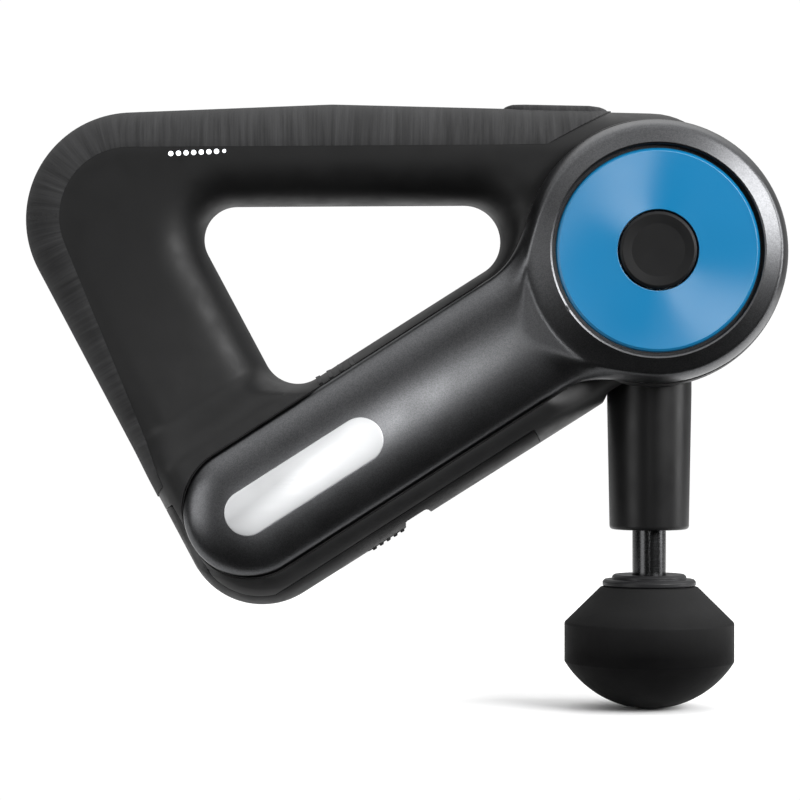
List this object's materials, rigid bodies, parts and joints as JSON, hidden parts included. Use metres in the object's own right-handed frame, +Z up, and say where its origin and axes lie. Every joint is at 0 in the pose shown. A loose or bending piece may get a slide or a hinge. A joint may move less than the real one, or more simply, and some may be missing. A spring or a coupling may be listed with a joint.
{
  "type": "massage gun",
  "caption": "Handheld percussive massage gun with a triangular loop handle, swivelling drive arm and dome foam head.",
  "frame": {"origin": "axis of the round head on the flat rear face", "axes": "+X from the handle towards the working side, +Z up along the arm away from the massage head, +Y from the disc side to the rear face"},
  "size_m": [0.2413, 0.066, 0.1929],
  "materials": {
    "shell": "fine matte",
    "grip_rubber": "streaked soft-touch",
    "cover": "satin gunmetal",
    "disc": "blue anodised, spun",
    "plate": "brushed",
    "led": "clear light pipe",
    "grille": "black pierced sheet",
    "board": "solder resist",
    "wire": "silicone insulation",
    "screw_steel": "blackened",
    "bush_plastic": "acetal",
    "carrier": "glass-filled nylon",
    "sleeve": "gloss black",
    "bronze": "sintered bronze",
    "seal_rubber": "matte",
    "cast_alloy": "die cast",
    "bearing_steel": "polished",
    "copper": "enamelled copper",
    "machined_steel": "machined",
    "shaft_steel": "dark polished",
    "socket_grey": "grey hard plastic",
    "foam": "closed-cell foam",
    "button": "dished satin",
    "battery": "fine matte",
    "cell_wrap": "shrink sleeve",
    "gold": "gold plated"
  },
  "bodies": {
    "housing": {"handle_shell_front": "shell", "handle_shell_rear": "shell", "grip_band": "grip_rubber", "front_cover": "cover", "rear_cover": "cover", "accent_disc": "disc", "rear_grille": "grille", "name_plate": "plate", "battery_leds": "led", "vent_mesh": "grille", "controller_board": "board", "light_board": "board", "driver_board": "board", "wiring_harness": "wire", "power_switch": "button", "battery_contacts": "gold", "shell_screws": "screw_steel", "cover_screws": "screw_steel", "swivel_bush_front": "bush_plastic", "swivel_bush_rear": "bush_plastic"},
    "arm": {"drive_carrier": "carrier", "carrier_cover": "carrier", "detent_plate": "machined_steel", "arm_sleeve": "sleeve", "shaft_bush_upper": "bronze", "shaft_bush_lower": "bronze", "shaft_seal": "seal_rubber", "motor_mount": "cast_alloy", "motor_stator": "copper", "motor_bearings": "bearing_steel", "carrier_screws": "screw_steel"},
    "crank": {"motor_rotor": "machined_steel", "motor_shaft": "bearing_steel", "crank_wheel": "machined_steel", "crank_pin": "bearing_steel", "pin_bearing": "bearing_steel"},
    "shaft": {"yoke": "cast_alloy", "drive_shaft": "shaft_steel", "shaft_o_ring": "seal_rubber"},
    "massage_head": {"head_socket": "socket_grey", "foam_head": "foam"},
    "release": {"centre_button": "button", "lock_hub": "machined_steel", "button_spring": "bearing_steel"},
    "power": {"power_button": "grip_rubber"},
    "battery": {"battery_case": "battery", "battery_cells": "cell_wrap", "battery_terminals": "gold", "latch_spring": "bearing_steel"},
    "latch": {"battery_latch": "button"}
  },
  "joints": [
    {"name": "arm_swivel", "type": "hinge", "parent": "housing", "child": "arm", "pos_m": [0, -0.033, 0], "axis": [0, -1, 0], "range_deg": [0, 120]},
    {"name": "crank_turn", "type": "hinge", "parent": "arm", "child": "crank", "pos_m": [0, -0.033, 0], "axis": [0, -1, 0], "range_deg": [-90, 90]},
    {"name": "shaft_stroke", "type": "slide", "parent": "arm", "child": "shaft", "axis": [0, 0, 1], "range_m": [-0.008, 0.008]},
    {"name": "head_pull", "type": "slide", "parent": "shaft", "child": "massage_head", "axis": [0, 0, -1], "range_m": [0, 0.02]},
    {"name": "release_press", "type": "slide", "parent": "housing", "child": "release", "axis": [0, 1, 0], "range_m": [0, 0.0015], "stiffness_N_per_m": 1500, "springref_m": -0.001, "deforming": ["button_spring"]},
    {"name": "power_press", "type": "slide", "parent": "housing", "child": "power", "axis": [0, 0, -1], "range_m": [0, 0.0007], "stiffness_N_per_m": 1200, "springref_m": -0.001},
    {"name": "battery_slide", "type": "slide", "parent": "housing", "child": "battery", "axis": [-0.8425, 0, -0.5388], "range_m": [0, 0.08]},
    {"name": "latch_press", "type": "slide", "parent": "battery", "child": "latch", "axis": [-0.5388, 0, 0.8425], "range_m": [0, 0.001], "stiffness_N_per_m": 1200, "springref_m": -0.001, "deforming": ["latch_spring"]}
  ],
  "couplings": [
    {"joint": "shaft_stroke", "follows": "crank_turn", "m_per_rad": 0.005093}
  ]
}
